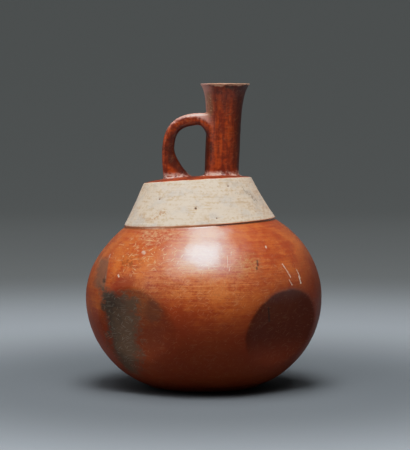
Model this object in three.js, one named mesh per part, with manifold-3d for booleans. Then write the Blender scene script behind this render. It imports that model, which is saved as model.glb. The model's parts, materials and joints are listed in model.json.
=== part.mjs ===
// Terracotta spout-and-handle bottle, hand-built as one piece of fired clay: a globular belly
// with four round hollows pressed into it, a sloping collar, a low-domed crown, a trumpet spout
// that stands off centre and a strap handle that springs from the crown to the spout.
// Millimetres, +Z up. The origin is under the middle of the flat foot, the handle stands towards
// -X, the spout towards +X, and the side that faces the viewer is -Y.

import * as THREE from "three";
import { mergeVertices } from "three/addons/utils/BufferGeometryUtils.js";
import Module from "manifold-3d";

const { clamp, degToRad, lerp, smoothstep } = THREE.MathUtils;

// Walls
const BODY_WALL = 5.5;
const SPOUT_WALL = 4;
const LIP_WALL = 2.6;

// Belly and shoulder
const FOOT_RADIUS = 30; // flat spot that the bottle stands on
const FOOT_PULL = 23; // how far the foot's curve runs on level before it turns up
const BELLY_RADIUS = 85.8;
const BELLY_HEIGHT = 65; // level of the widest ring
const BELLY_PULL = 38; // how far the belly's curve runs upright below the widest ring
const SHOULDER_RISE = 70.5; // upright half-axis of the shoulder's ellipse
const COLLAR_FOOT_HEIGHT = 118.8; // level where the collar cuts that ellipse

// Collar and crown
const COLLAR_TOP_RADIUS = 39.3;
const COLLAR_TOP_HEIGHT = 150.1;
const COLLAR_SAG = 0.7; // how far the slope's control point is drawn in, for a slightly hollow slope
const GROOVE_DEPTH = 1;
const GROOVE_HEIGHT = 1.8; // width of the line cut under the collar
const GROOVE_FLOOR = 0.6; // height of the line's deepest point above its lower edge
const CROWN_RISE = 3.2; // dome of the crown over the collar's edge
const CROWN_FLAT = 28; // radius where the dome's control point lies

// Hand-made lean of everything above the belly, towards the handle
const LEAN = degToRad(3.3);
const LEAN_PIVOT = 70;
const CROWN_TILT = degToRad(2.8); // the crown's front edge sits a little high

// Round hollows pressed into the belly: azimuth from +X and downward droop in degrees, height of
// the centre, and depth of the press below the belly's skin, measured at the hollow's edge
const HOLLOWS = [
  { azimuth: -44, droop: 17, height: 45.5, press: 7 },
  { azimuth: -128, droop: 14, height: 49, press: 6 },
  { azimuth: 134, droop: 16, height: 46, press: 6.5 },
  { azimuth: 46, droop: 16, height: 46, press: 6.5 },
];
const HOLLOW_RADIUS = 35;
const HOLLOW_DISH = 1.6; // further depth at the middle
const HOLLOW_BLEND = 2.6; // softness of the hollow's edge

// Spout, in its own frame with its foot on the crown
const SPOUT_FOOT = new THREE.Vector3(12.9, 0, 153.4);
const SPOUT_SLANT = Math.tan(degToRad(2.1)); // sideways drift per millimetre of height
const SPOUT_HEIGHT = 66.6;
const SPOUT_RADIUS = 12.35;
const SPOUT_ROOT = 4; // how far the spout is let into the crown
const SPOUT_FILLET = 2.8;
const FLARE_HEIGHT = 30;
const FLARE_TURN = 7; // height below the rim of the flare's control point
const FLARE_SWELL = 0.6; // how far that point stands outside the straight wall
const RIM_RADIUS = 17.8;
const RIM_ROUND = 0.9;
const BORE_DROP = 30; // how far the bore's cutter reaches below the crown
const BORE_OVERSHOOT = 3;

// Strap handle
const HANDLE_LINE = new THREE.CubicBezierCurve3(
  new THREE.Vector3(-24, 0, 146),
  new THREE.Vector3(-30.5, 0, 192),
  new THREE.Vector3(-20, 0, 194.3),
  new THREE.Vector3(7, 0, 193),
);
const STRAP_HALF_THICK = 4;
const STRAP_HALF_WIDE = 8;
const STRAP_SQUARENESS = 2.6; // exponent of the section's rounded outline
const FOOT_FLARE = 15; // growth of the strap's inner side at the crown
const FOOT_FLARE_REACH = 0.27; // share of the handle's length that it takes
const JOIN_FLARE = 25; // the same at the spout
const JOIN_FLARE_REACH = 0.15;
const END_SPREAD = 1.6; // growth of the half width at both ends

// Facets: sides around each turned form, and steps along each curve of its profile
const BODY_SIDES = 80;
const BODY_STEPS = [1, 14, 9, 1, 1, 4, 4];
const CAVITY_SIDES = 40;
const CAVITY_STEPS = [1, 8, 5, 2, 3];
const SPOUT_SIDES = 28;
const SPOUT_STEPS = [1, 1, 4, 2, 7, 1, 1];
const BORE_STEPS = [1, 2, 6, 1, 1];
const HANDLE_SIDES = 16;
const HANDLE_STEPS = 28;
const MERGE_DISTANCE = 1e-4;
const BISECTIONS = 24;

const UP = new THREE.Vector3(0, 0, 1);
const ACROSS = new THREE.Vector3(0, 1, 0);
const ALONG = new THREE.Vector3(1, 0, 0);
const wasm = await Module();
wasm.setup();

// The smaller of two lengths, with the corner between them rounded over.
function softMin(a, b, blend) {
  const share = clamp(0.5 + (b - a) / (2 * blend), 0, 1);
  return lerp(b, a, share) - blend * share * (1 - share);
}

// A closed geometry as a manifold solid. Triangles that have shrunk to a line at a pole are left out.
function solidOf(geometry) {
  const bare = geometry.clone();
  bare.deleteAttribute("normal");
  bare.deleteAttribute("uv");
  const merged = mergeVertices(bare, MERGE_DISTANCE);
  const corners = merged.index.array;
  const triangles = [];
  for (let i = 0; i < corners.length; i += 3) {
    const [a, b, c] = corners.slice(i, i + 3);
    if (a !== b && b !== c && c !== a) {
      triangles.push(a, b, c);
    }
  }
  const vertProperties = new Float32Array(merged.attributes.position.array);
  const triVerts = new Uint32Array(triangles);
  return new wasm.Manifold(new wasm.Mesh({ numProp: 3, vertProperties, triVerts }));
}

// A manifold solid as a geometry with flat facets.
function geometryOf(solid) {
  const { numProp, vertProperties, triVerts } = solid.getMesh();
  const corners = new THREE.InterleavedBuffer(new Float32Array(vertProperties), numProp);
  const geometry = new THREE.BufferGeometry();
  geometry.setAttribute("position", new THREE.InterleavedBufferAttribute(corners, 3, 0));
  geometry.setIndex(new THREE.BufferAttribute(new Uint32Array(triVerts), 1));
  const facets = geometry.toNonIndexed();
  facets.computeVertexNormals();
  return facets;
}

// Moves every vertex of a geometry by a function that changes a Vector3 in place.
function reshape(geometry, move) {
  const position = geometry.attributes.position;
  const point = new THREE.Vector3();
  for (let i = 0; i < position.count; i += 1) {
    move(point.fromBufferAttribute(position, i));
    position.setXYZ(i, point.x, point.y, point.z);
  }
  return geometry;
}

// Turns a profile of (radius, height) points about +Z.
function turned(points, sides) {
  return new THREE.LatheGeometry(points, sides).rotateX(Math.PI / 2);
}

// Points of a path whose curves are each sampled with their own number of steps.
function sampled(path, steps) {
  const points = [path.curves[0].getPoint(0)];
  path.curves.forEach((curve, i) => points.push(...curve.getPoints(steps[i]).slice(1)));
  return points;
}

// The curve from the foot's edge up to the widest ring, drawn in by the wall for the cavity.
function lowerBelly(inset) {
  const belly = BELLY_RADIUS - inset;
  return new THREE.CubicBezierCurve(
    new THREE.Vector2(FOOT_RADIUS, inset),
    new THREE.Vector2(FOOT_RADIUS + FOOT_PULL, inset),
    new THREE.Vector2(belly, BELLY_HEIGHT - BELLY_PULL),
    new THREE.Vector2(belly, BELLY_HEIGHT),
  );
}

// Belly, collar and crown in section, from the middle of the foot to the middle of the crown.
function bodyProfile(inset, steps) {
  const rise = SHOULDER_RISE - inset;
  const turn = Math.asin((COLLAR_FOOT_HEIGHT - BELLY_HEIGHT) / SHOULDER_RISE);
  const brim = new THREE.Vector2(COLLAR_TOP_RADIUS - inset, COLLAR_TOP_HEIGHT - inset);
  const crown = brim.y + CROWN_RISE;
  const { v1, v2, v3 } = lowerBelly(inset);
  const path = new THREE.Path();
  path.moveTo(0, inset);
  path.lineTo(FOOT_RADIUS, inset);
  path.bezierCurveTo(v1.x, v1.y, v2.x, v2.y, v3.x, v3.y);
  path.absellipse(0, BELLY_HEIGHT, BELLY_RADIUS - inset, rise, 0, turn, false);
  if (inset === 0) {
    cutGroove(path);
  }
  const slope = path.currentPoint.clone().lerp(brim, 0.5).subScalar(COLLAR_SAG);
  path.quadraticCurveTo(slope.x, slope.y, brim.x, brim.y);
  path.quadraticCurveTo(CROWN_FLAT, crown, 0, crown);
  return sampled(path, steps);
}

// The line incised where the collar meets the shoulder.
function cutGroove(path) {
  const { x, y } = path.currentPoint;
  path.lineTo(x - GROOVE_DEPTH, y + GROOVE_FLOOR);
  path.lineTo(x, y + GROOVE_HEIGHT);
}

// Radius of the belly's lower curve at a height, found by halving.
function bellyRadiusAt(height) {
  const curve = lowerBelly(0);
  let low = 0;
  let high = 1;
  for (let step = 0; step < BISECTIONS; step += 1) {
    const middle = (low + high) / 2;
    if (curve.getPoint(middle).y < height) {
      low = middle;
    } else {
      high = middle;
    }
  }
  return curve.getPoint(low).x;
}

// Presses the round hollows: along each hollow's axis no point may stand above a shallow dish.
function pressHollows(point, inset) {
  for (const { azimuth, droop, height, press } of HOLLOWS) {
    const axis = ALONG.clone().applyAxisAngle(ACROSS, degToRad(droop));
    axis.applyAxisAngle(UP, degToRad(azimuth));
    const reach = bellyRadiusAt(height) / Math.cos(degToRad(droop));
    const heart = new THREE.Vector3(0, 0, height - reach * axis.z);
    const arm = point.clone().sub(heart);
    const out = arm.dot(axis);
    const aside = arm.addScaledVector(axis, -out).length() / HOLLOW_RADIUS;
    const limit = reach - inset - press - HOLLOW_DISH * (1 - aside * aside);
    point.addScaledVector(axis, softMin(out, limit, HOLLOW_BLEND) - out);
  }
}

// Lifts the crown's front edge, then leans the shoulder, collar and crown over.
function leanOver(point) {
  const lift = CROWN_TILT * smoothstep(point.z, COLLAR_FOOT_HEIGHT, COLLAR_TOP_HEIGHT);
  const lean = LEAN * smoothstep(point.z, BELLY_HEIGHT, COLLAR_FOOT_HEIGHT);
  point.z -= COLLAR_TOP_HEIGHT;
  point.applyAxisAngle(ALONG, -lift);
  point.z += COLLAR_TOP_HEIGHT - LEAN_PIVOT;
  point.applyAxisAngle(ACROSS, -lean);
  point.z += LEAN_PIVOT;
}

function bodySolid(inset, sides, steps) {
  const geometry = turned(bodyProfile(inset, steps), sides);
  return solidOf(
    reshape(geometry, (point) => {
      pressHollows(point, inset);
      leanOver(point);
    }),
  );
}

// Stands a turned form on the crown and lets it drift sideways as it rises, with its rim level.
function onSpoutFoot(geometry) {
  return solidOf(
    reshape(geometry, (point) => {
      point.x += SPOUT_SLANT * point.z;
      point.add(SPOUT_FOOT);
    }),
  );
}

// The straight wall and the trumpet flare above it, up to a given rim.
function flare(path, radius, rim, height) {
  path.lineTo(radius, SPOUT_HEIGHT - FLARE_HEIGHT);
  path.quadraticCurveTo(radius + FLARE_SWELL, SPOUT_HEIGHT - FLARE_TURN, rim, height);
}

function spoutSolid() {
  const root = SPOUT_RADIUS + SPOUT_FILLET;
  const path = new THREE.Path();
  path.moveTo(0, -SPOUT_ROOT);
  path.lineTo(root, -SPOUT_ROOT);
  path.lineTo(root, 0);
  path.quadraticCurveTo(SPOUT_RADIUS, 0, SPOUT_RADIUS, SPOUT_FILLET);
  flare(path, SPOUT_RADIUS, RIM_RADIUS, SPOUT_HEIGHT - RIM_ROUND);
  path.lineTo(RIM_RADIUS - RIM_ROUND, SPOUT_HEIGHT);
  path.lineTo(0, SPOUT_HEIGHT);
  return onSpoutFoot(turned(sampled(path, SPOUT_STEPS), SPOUT_SIDES));
}

function boreSolid() {
  const mouth = RIM_RADIUS - LIP_WALL;
  const path = new THREE.Path();
  path.moveTo(0, -BORE_DROP);
  path.lineTo(SPOUT_RADIUS - SPOUT_WALL, -BORE_DROP);
  flare(path, SPOUT_RADIUS - SPOUT_WALL, mouth, SPOUT_HEIGHT);
  path.lineTo(mouth, SPOUT_HEIGHT + BORE_OVERSHOOT);
  path.lineTo(0, SPOUT_HEIGHT + BORE_OVERSHOOT);
  return onSpoutFoot(turned(sampled(path, BORE_STEPS), SPOUT_SIDES));
}

// How much of an end's flare is left at a share of the handle's length from that end.
function fading(share, reach) {
  return Math.max(0, 1 - share / reach) ** 2;
}

// Stretch that turns a round ring into the strap's rounded oblong.
function oblong(x, z) {
  const corner = Math.abs(x) ** STRAP_SQUARENESS + Math.abs(z) ** STRAP_SQUARENESS;
  return corner > 0 ? corner ** (-1 / STRAP_SQUARENESS) : 0;
}

// The handle is a cylinder whose rings are laid along the handle's line. A ring's inner side,
// towards the finger hole, grows at both ends, where the clay is smoothed onto crown and spout.
function handleSolid() {
  const geometry = new THREE.CylinderGeometry(1, 1, 1, HANDLE_SIDES, HANDLE_STEPS);
  return solidOf(
    reshape(geometry, (point) => {
      const share = clamp(point.y + 0.5, 0, 1);
      const inward = ACROSS.clone().cross(HANDLE_LINE.getTangent(share));
      const atFoot = fading(share, FOOT_FLARE_REACH);
      const atJoin = fading(1 - share, JOIN_FLARE_REACH);
      const growth = point.x > 0 ? FOOT_FLARE * atFoot + JOIN_FLARE * atJoin : 0;
      const fill = oblong(point.x, point.z);
      const thick = point.x * fill * (STRAP_HALF_THICK + growth);
      const wide = point.z * fill * (STRAP_HALF_WIDE + END_SPREAD * (atFoot + atJoin));
      point.copy(HANDLE_LINE.getPoint(share));
      point.addScaledVector(inward, thick).addScaledVector(ACROSS, -wide);
    }),
  );
}

const cavity = bodySolid(BODY_WALL, CAVITY_SIDES, CAVITY_STEPS).add(boreSolid());
const outside = bodySolid(0, BODY_SIDES, BODY_STEPS).add(spoutSolid()).add(handleSolid());

const redSlip = new THREE.MeshStandardMaterial({ color: 0xa8451f, roughness: 0.42, metalness: 0 });
const vase = new THREE.Mesh(geometryOf(outside.subtract(cavity)), redSlip);
vase.name = "vase";

const bottle = new THREE.Group();
bottle.add(vase);

export default bottle;
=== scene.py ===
# %% [markdown]
# # A terracotta bottle with a spout and a strap handle
#
# The real bottle is one piece of fired clay. A potter pressed and coiled a round belly, closed it with
# a sloping collar and a low crown, and luted a trumpet spout and a flat strap handle on top. Red slip
# was brushed on and rubbed with a smooth stone, the collar was left in its pale clay, and the fire left
# a grey cloud on one side.
#
# The lesson follows the potter: turn the belly, lean it, press the hollows, raise the spout, pull the
# handle, join them, hollow everything out, and only then paint it. The solid part that is loaded first
# is the frame: the new piece has the same size and place, and finer clay.

# %% Load the frame
import json
import math

import bpy
import numpy as np
from mathutils import Matrix, Vector

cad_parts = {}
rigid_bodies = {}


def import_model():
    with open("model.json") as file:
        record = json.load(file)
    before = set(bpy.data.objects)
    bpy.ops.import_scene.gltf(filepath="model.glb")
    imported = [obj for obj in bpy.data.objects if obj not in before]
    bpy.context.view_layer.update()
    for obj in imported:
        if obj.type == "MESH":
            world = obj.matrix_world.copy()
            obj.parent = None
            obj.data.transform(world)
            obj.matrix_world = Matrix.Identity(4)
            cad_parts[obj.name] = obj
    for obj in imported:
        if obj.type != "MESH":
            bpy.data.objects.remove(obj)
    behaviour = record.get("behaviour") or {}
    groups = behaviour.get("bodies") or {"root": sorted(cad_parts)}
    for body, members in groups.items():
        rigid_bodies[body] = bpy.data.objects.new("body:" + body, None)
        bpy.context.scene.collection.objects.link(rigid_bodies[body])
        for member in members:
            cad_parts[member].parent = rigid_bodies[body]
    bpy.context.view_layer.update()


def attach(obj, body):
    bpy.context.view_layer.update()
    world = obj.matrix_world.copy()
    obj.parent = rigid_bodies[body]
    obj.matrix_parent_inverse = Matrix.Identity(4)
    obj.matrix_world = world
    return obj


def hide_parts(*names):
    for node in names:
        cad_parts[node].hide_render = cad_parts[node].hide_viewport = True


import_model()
MM = 0.001

# %% [markdown]
# ## Looking at it
#
# A long lens from a metre and a half keeps the bottle's sides upright, as the photograph shows them.
# The camera stands at about the height of the spout and looks down a little, so the rim is a line and
# the foot a shallow arc.

# %% Camera
PHOTO_HEIGHT_PX = 450
FOCAL_LENGTH_PX = 2075
CAMERA_PLACE = Vector((0.9 * MM, -1500 * MM, 207 * MM))
CAMERA_PITCH = math.radians(3.42)

bpy.ops.object.select_all(action="DESELECT")
bpy.ops.object.camera_add(location=CAMERA_PLACE, rotation=(math.pi / 2 - CAMERA_PITCH, 0, 0))
camera = bpy.context.object
camera.name = "photo_camera"
camera.data.lens = camera.data.sensor_width * FOCAL_LENGTH_PX / PHOTO_HEIGHT_PX
bpy.context.scene.camera = camera
print("lens", round(camera.data.lens), "mm")

# %% [markdown]
# ## Helpers for working by hand
#
# Every operator works on what is selected. These helpers open one piece for editing, select its
# vertices by their place, and turn or smooth the selection. With no window the rotate operator turns
# the other way and ignores the pivot, so `turn` changes the sign and names the centre.

# %% Helpers
RUB_SHARE = 0.5


def only(piece):
    """Makes one piece the selected and active one, in object mode."""
    if bpy.context.mode != "OBJECT":
        bpy.ops.object.mode_set(mode="OBJECT")
    bpy.ops.object.select_all(action="DESELECT")
    piece.select_set(True)
    bpy.context.view_layer.objects.active = piece


def places(piece):
    """The piece's vertices, one row of x, y, z each."""
    flat = np.empty(len(piece.data.vertices) * 3)
    piece.data.vertices.foreach_get("co", flat)
    return flat.reshape(-1, 3)


def pick(piece, wanted):
    """Selects the vertices that are wanted, and leaves the piece open in edit mode."""
    bpy.ops.object.mode_set(mode="OBJECT")
    mesh = piece.data
    mesh.polygons.foreach_set("select", np.zeros(len(mesh.polygons), bool))
    mesh.edges.foreach_set("select", np.zeros(len(mesh.edges), bool))
    mesh.vertices.foreach_set("select", wanted)
    bpy.ops.object.mode_set(mode="EDIT")


def turn(angle, axis, centre):
    """Turns the selection by the right-hand rule about an axis through a centre."""
    bpy.ops.transform.rotate(value=-angle, orient_axis=axis, center_override=centre)


def rub(times):
    """Smooths the selected clay, as a thumb does, a number of times."""
    bpy.ops.mesh.vertices_smooth(factor=RUB_SHARE, repeat=times)


def bezier(points, share):
    """The point at a share of a Bezier curve, found by cutting its control polygon at that share."""
    row = list(points)
    while len(row) > 1:
        row = [a.lerp(b, share) for a, b in zip(row, row[1:])]
    return row[0]


def smooth_step(value, low, high):
    share = min(max((value - low) / (high - low), 0), 1)
    return share * share * (3 - 2 * share)


# %% [markdown]
# ## The belly, collar and crown
#
# They are round about one upright line, so half the section is drawn as a chain of points and spun
# about it. The alternative, a sphere pulled into shape, would not give the small flat foot or the crisp
# line that the potter cut where the collar starts. The lower belly is one Bezier curve, the shoulder is
# part of an ellipse, and the collar and the crown are shallow curves.

# %% Section of the body
FOOT_RADIUS = 30 * MM
FOOT_PULL = 23 * MM
BELLY_RADIUS = 85.8 * MM
BELLY_HEIGHT = 65 * MM
BELLY_PULL = 38 * MM
SHOULDER_RISE = 70.5 * MM
COLLAR_FOOT_HEIGHT = 118.8 * MM
COLLAR_TOP_RADIUS = 39.3 * MM
COLLAR_TOP_HEIGHT = 150.1 * MM
COLLAR_SAG = 0.7 * MM
GROOVE_DEPTH = 0.7 * MM
GROOVE_HEIGHT = 1.5 * MM
GROOVE_FLOOR = 0.35 * GROOVE_HEIGHT
GROOVE_LIP = 0.2 * GROOVE_DEPTH
GROOVE_ROUND = 0.2 * MM
GROOVE_SLOPE = 0.5 * MM
GROOVE_STEPS = (2, 3)
BRIM_ROUND = 0.8 * MM
BRIM_LIFT = 0.35 * BRIM_ROUND
CROWN_RISE = 3.2 * MM
CROWN_FLAT = 28 * MM
# Points along each stretch of the section at full detail.
FOOT_STEPS = 12
BELLY_STEPS = 62
SHOULDER_STEPS = 44
COLLAR_STEPS = 36
BRIM_STEPS = 4
CROWN_STEPS = 30


def along(points, count):
    """A curve's points after its start."""
    return [bezier(points, (i + 1) / count) for i in range(count)]


def flat_point(radius, height):
    return Vector((radius, 0, height))


def belly_curve(inset):
    """Control points from the foot's edge to the widest ring, drawn in by an inset for the inside."""
    belly = BELLY_RADIUS - inset
    return [
        flat_point(FOOT_RADIUS, inset),
        flat_point(FOOT_RADIUS + FOOT_PULL, inset),
        flat_point(belly, BELLY_HEIGHT - BELLY_PULL),
        flat_point(belly, BELLY_HEIGHT),
    ]


def shoulder_point(inset, share):
    turn_of_shoulder = math.asin((COLLAR_FOOT_HEIGHT - BELLY_HEIGHT) / SHOULDER_RISE) * share
    radius = (BELLY_RADIUS - inset) * math.cos(turn_of_shoulder)
    return flat_point(radius, BELLY_HEIGHT + (SHOULDER_RISE - inset) * math.sin(turn_of_shoulder))


def groove_points(neck):
    """The line that is cut under the collar: down to its floor, and up to the collar's foot."""
    floor_point = neck + flat_point(-GROOVE_DEPTH, GROOVE_FLOOR)
    collar_foot = neck + flat_point(-GROOVE_LIP, GROOVE_HEIGHT)
    way_in = [neck, floor_point - flat_point(0, GROOVE_ROUND), floor_point]
    way_out = [floor_point, floor_point + flat_point(GROOVE_ROUND, GROOVE_SLOPE), collar_foot]
    return along(way_in, GROOVE_STEPS[0]) + along(way_out, GROOVE_STEPS[1])


def body_section(inset, detail):
    """Half the section, from the middle of the foot to the middle of the crown."""

    def count(steps):
        return max(2, round(steps * detail))

    foot_steps = count(FOOT_STEPS)
    shoulder_steps = count(SHOULDER_STEPS)
    section = [flat_point(FOOT_RADIUS * i / foot_steps, inset) for i in range(foot_steps + 1)]
    section += along(belly_curve(inset), count(BELLY_STEPS))
    section += [shoulder_point(inset, (i + 1) / shoulder_steps) for i in range(shoulder_steps)]
    if inset == 0:
        section += groove_points(section[-1])
    neck = section[-1]
    brim = flat_point(COLLAR_TOP_RADIUS - inset, COLLAR_TOP_HEIGHT - inset)
    slope = neck.lerp(brim, 0.5) - flat_point(COLLAR_SAG, COLLAR_SAG)
    below_brim = brim + (slope - brim).normalized() * BRIM_ROUND
    past_brim = brim + flat_point(-BRIM_ROUND, BRIM_LIFT)
    crown = flat_point(0, brim.z + CROWN_RISE)
    section += along([neck, slope, below_brim], count(COLLAR_STEPS))
    section += along([below_brim, brim, past_brim], count(BRIM_STEPS))
    section += along([past_brim, flat_point(CROWN_FLAT, crown.z), crown], count(CROWN_STEPS))
    return section


outer_section = body_section(0, 1)
print("section of", len(outer_section), "points")

# %% [markdown]
# A section is drawn like a wire: a plane is merged to one vertex, which is extruded from point to
# point, and the wire is spun all the way round. The spin leaves doubles where it closes and at the
# poles, so they are merged before the faces are turned outwards.

# %% Spin the section
BODY_SIDES = 288
TOUCHING = 0.01 * MM


def spun(name, section, sides):
    """Draws a section point by point from one vertex, and spins it into a closed form."""
    bpy.ops.object.select_all(action="DESELECT")
    bpy.ops.mesh.primitive_plane_add(size=MM, location=(0, 0, 0))
    piece = bpy.context.object
    piece.name = name
    bpy.ops.object.mode_set(mode="EDIT")
    bpy.ops.mesh.select_all(action="SELECT")
    bpy.ops.mesh.merge(type="CENTER")
    bpy.ops.transform.translate(value=section[0])
    for here, there in zip(section, section[1:]):
        bpy.ops.mesh.extrude_region_move(TRANSFORM_OT_translate={"value": there - here})
    bpy.ops.mesh.select_all(action="SELECT")
    bpy.ops.mesh.spin(steps=sides, angle=math.tau, center=(0, 0, 0), axis=(0, 0, 1))
    bpy.ops.mesh.select_all(action="SELECT")
    bpy.ops.mesh.remove_doubles(threshold=TOUCHING)
    bpy.ops.mesh.normals_make_consistent(inside=False)
    bpy.ops.object.mode_set(mode="OBJECT")
    return piece


body = spun("vase_body", outer_section, BODY_SIDES)
print("body spun:", len(body.data.polygons), "faces")

# %% [markdown]
# The line under the collar is crisp at the right only. At the left it was brushed full of slip, so the
# groove's vertices are smoothed there until little of it is left.

# %% Fill the groove at the left
FILLED_SIDE = 12 * MM
FILLED_BAND = 1.6 * MM
FILL_RUBS = 10
FILL_END_RUBS = 2

corners = places(body)
near_line = np.abs(corners[:, 2] - COLLAR_FOOT_HEIGHT - GROOVE_HEIGHT / 2) < FILLED_BAND
pick(body, near_line & (corners[:, 0] < FILLED_SIDE))
rub(FILL_RUBS)
pick(body, near_line & (corners[:, 0] < FILLED_SIDE + FILLED_BAND))
rub(FILL_END_RUBS)
bpy.ops.object.mode_set(mode="OBJECT")
print("groove filled at the left")

# %% [markdown]
# ## The lean
#
# Nothing hand-built is straight. Everything above the belly leans a little towards the handle, and the
# crown's front edge sits high. Both are small turns that grow ring by ring, as soft clay settles: for
# each ring, all that lies above it is turned by the next little share of the angle.

# %% Lean the body
LEAN = math.radians(3.3)
LEAN_PIVOT = Vector((0, 0, 70 * MM))
CROWN_TILT = math.radians(2.8)
CROWN_PIVOT = Vector((0, 0, COLLAR_TOP_HEIGHT))


def settle(piece, section, angle, axis, centre, low, high):
    """Turns a piece more and more from one height to another, and by the whole angle above that."""
    heights = places(piece)[:, 2]
    levels = sorted({point.z for point in section if low <= point.z <= high})
    for below, above in zip(levels, levels[1:]):
        share = smooth_step(above, low, high) - smooth_step(below, low, high)
        pick(piece, heights > (below + above) / 2)
        turn(share * angle, axis, centre)
    bpy.ops.object.mode_set(mode="OBJECT")


def lean_over(piece, section):
    only(piece)
    untilted = places(piece)[:, 2].max()
    settle(piece, section, -CROWN_TILT, "X", CROWN_PIVOT, COLLAR_FOOT_HEIGHT, COLLAR_TOP_HEIGHT)
    settle(piece, section, -LEAN, "Y", LEAN_PIVOT, BELLY_HEIGHT, COLLAR_FOOT_HEIGHT)
    moved = places(piece)[:, 2].max() - untilted
    print(piece.name, "leaned over; top moved", round(moved / MM, 2), "mm")


lean_over(body, outer_section)

# %% [markdown]
# ## The pressed hollows
#
# Four round, almost flat hollows are pressed into the belly, two of them in view. They could be cut
# with a Boolean ball, but clay that is pressed keeps its skin. So the vertices that stand beyond a
# plane are scaled flat onto it, in a frame turned to the hollow's own axis, the middle is pushed a
# little deeper with a soft falloff, and the edge is smoothed as by a thumb: lightly above, where the
# photograph shows it crisp, and more below.

# %% Press the hollows
# Azimuth from +X and droop in degrees, height of the centre, and depth of the press.
HOLLOWS = (
    (-44, 17, 45.5 * MM, 7.0 * MM),
    (-128, 14, 49.0 * MM, 6.0 * MM),
    (134, 16, 46.0 * MM, 6.5 * MM),
    (46, 16, 46.0 * MM, 6.5 * MM),
)
HOLLOW_RADIUS = 35 * MM
HOLLOW_REACH = 2 * HOLLOW_RADIUS
HOLLOW_SURROUND = 1.5 * HOLLOW_RADIUS
HOLLOW_DISH = 1.6 * MM
CRISP_EDGE = 1 * MM
CRISP_RUBS = 4
SOFT_EDGE = 2.5 * MM
SOFT_RUBS = 8
HALVINGS = 24


def belly_radius(height):
    """Radius of the belly at a height below its widest ring, found by halving."""
    low = 0.0
    high = 1.0
    for _ in range(HALVINGS):
        middle = (low + high) / 2
        if bezier(belly_curve(0), middle).z < height:
            low = middle
        else:
            high = middle
    return bezier(belly_curve(0), low).x


def hollow_axis(hollow):
    """The way that a hollow faces."""
    azimuth = math.radians(hollow[0])
    droop = math.radians(hollow[1])
    return Matrix.Rotation(azimuth, 3, "Z") @ Vector((math.cos(droop), 0, -math.sin(droop)))


def hollow_floor(hollow, inset=0):
    """The middle of the plane that a hollow is pressed to."""
    droop = math.radians(hollow[1])
    height, press = hollow[2:]
    reach = belly_radius(height) / math.cos(droop)
    heart = Vector((0, 0, height + reach * math.sin(droop)))
    return heart + hollow_axis(hollow) * (reach - inset - press)


def press_hollow(piece, hollow, inset):
    axis = hollow_axis(hollow)
    floor_point = hollow_floor(hollow, inset)
    arms = places(piece) - np.array(floor_point)
    out = arms @ np.array(axis)
    aside = np.linalg.norm(arms - np.outer(out, axis), axis=1)
    pick(piece, (out > 0) & (aside < HOLLOW_REACH))
    bpy.ops.transform.resize(
        value=(1, 1, 0),
        orient_type="LOCAL",
        orient_matrix=axis.to_track_quat("Z", "Y").to_matrix(),
        orient_matrix_type="LOCAL",
        constraint_axis=(False, False, True),
        center_override=floor_point,
    )
    on_floor = (np.abs(out) < HOLLOW_RADIUS) & (aside < HOLLOW_RADIUS)
    pick(piece, on_floor & (aside <= aside[on_floor].min() + TOUCHING))
    bpy.ops.transform.translate(
        value=-axis * HOLLOW_DISH,
        use_proportional_edit=True,
        proportional_edit_falloff="INVERSE_SQUARE",
        proportional_size=HOLLOW_RADIUS,
    )
    around = aside < HOLLOW_SURROUND
    pick(piece, around & (np.abs(out) < CRISP_EDGE))
    rub(CRISP_RUBS)
    pick(piece, around & (np.abs(out) < SOFT_EDGE) & (arms[:, 2] < 0))
    rub(SOFT_RUBS)
    bpy.ops.object.mode_set(mode="OBJECT")


only(body)
for hollow in HOLLOWS:
    press_hollow(body, hollow, 0)
print("pressed", len(HOLLOWS), "hollows")

# %% [markdown]
# ## The spout
#
# The spout is a tube with a trumpet mouth, raised ring by ring from a disc on the crown: each ring is
# extruded, moved up and a little sideways, and resized. That gives the slight slant with a level rim,
# which a spun form would not have. The uneven skin that comes later only takes clay away, so spout and
# handle start thicker by a small allowance.

# %% Raise the spout
SKIN_ALLOWANCE = 0.5 * MM
SPOUT_FOOT = Vector((12.9 * MM, 0, 153.4 * MM))
SPOUT_SLANT = math.tan(math.radians(2.1))
SPOUT_HEIGHT = 66.6 * MM
SPOUT_RADIUS = 12.35 * MM + SKIN_ALLOWANCE
SPOUT_ROOT = 4 * MM
SPOUT_FILLET = 2.8 * MM
SPOUT_SIDES = 128
FLARE_HEIGHT = 30 * MM
FLARE_TURN = 7 * MM
FLARE_SWELL = 0.6 * MM
RIM_RADIUS = 17.8 * MM + SKIN_ALLOWANCE
RIM_ROUND = 1.1 * MM
SPOUT_WALL = 4 * MM + SKIN_ALLOWANCE
LIP_WALL = 2.6 * MM + SKIN_ALLOWANCE
BORE_DROP = 30 * MM
BORE_OVERSHOOT = 3 * MM
# Rings along each stretch.
FILLET_RINGS = 6
WALL_RINGS = 24
FLARE_RINGS = 28
LIP_RINGS = 4
BORE_RINGS = 16
BORE_FLARE_RINGS = 20


def flare_curve(radius, rim_wear_and_highlight, height):
    return [
        flat_point(radius, SPOUT_HEIGHT - FLARE_HEIGHT),
        flat_point(radius + FLARE_SWELL, SPOUT_HEIGHT - FLARE_TURN),
        flat_point(rim_wear_and_highlight, height),
    ]


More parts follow.
